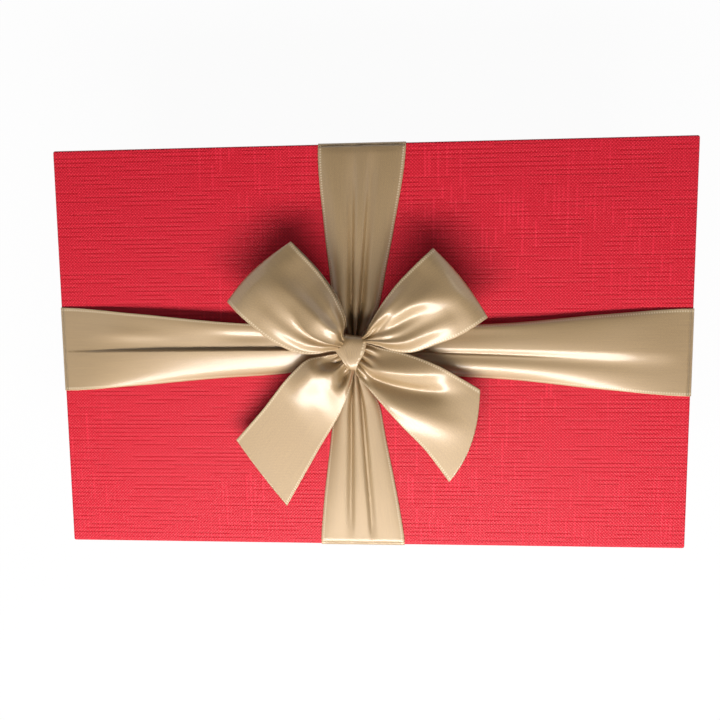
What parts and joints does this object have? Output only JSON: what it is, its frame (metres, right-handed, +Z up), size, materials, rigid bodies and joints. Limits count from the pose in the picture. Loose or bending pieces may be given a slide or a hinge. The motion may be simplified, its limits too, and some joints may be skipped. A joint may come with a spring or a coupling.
{
  "type": "gift box",
  "caption": "Rectangular gift box with a lift-off lid in embossed red paper, crossed with champagne satin ribbon and tied with a bow.",
  "frame": {"origin": "centre of the base's underside, on the surface that the box stands on", "axes": "+Z up, +X along the lid's long side to the right, -Y towards the viewer at the picture's lower edge"},
  "size_m": [0.281, 0.18, 0.1116],
  "materials": {
    "red_linen_paper": "linen-embossed, satin sheen",
    "greyboard": "raw board",
    "kraft_tape": "matte",
    "white_liner_paper": "smooth matte",
    "champagne_satin": "satin weave",
    "double_sided_tape": "matte"
  },
  "bodies": {
    "base": {"base_board": "greyboard", "base_corner_stays": "kraft_tape", "base_wrap": "red_linen_paper", "base_underside_sheet": "red_linen_paper", "base_wall_liner": "white_liner_paper", "base_floor_liner": "white_liner_paper"},
    "lid": {"lid_board": "greyboard", "lid_corner_stays": "kraft_tape", "lid_wrap": "red_linen_paper", "lid_liner": "white_liner_paper", "long_ribbon_band": "champagne_satin", "short_ribbon_band": "champagne_satin", "ribbon_end_tapes": "double_sided_tape", "ribbon_tie": "champagne_satin", "bow_knot": "champagne_satin", "bow_left_loop": "champagne_satin", "bow_right_loop": "champagne_satin", "bow_left_tail": "champagne_satin", "bow_right_tail": "champagne_satin"}
  },
  "joints": [
    {"name": "lid_lift", "type": "slide", "parent": "base", "child": "lid", "axis": [0, 0, 1], "range_m": [0, 0.09]}
  ]
}
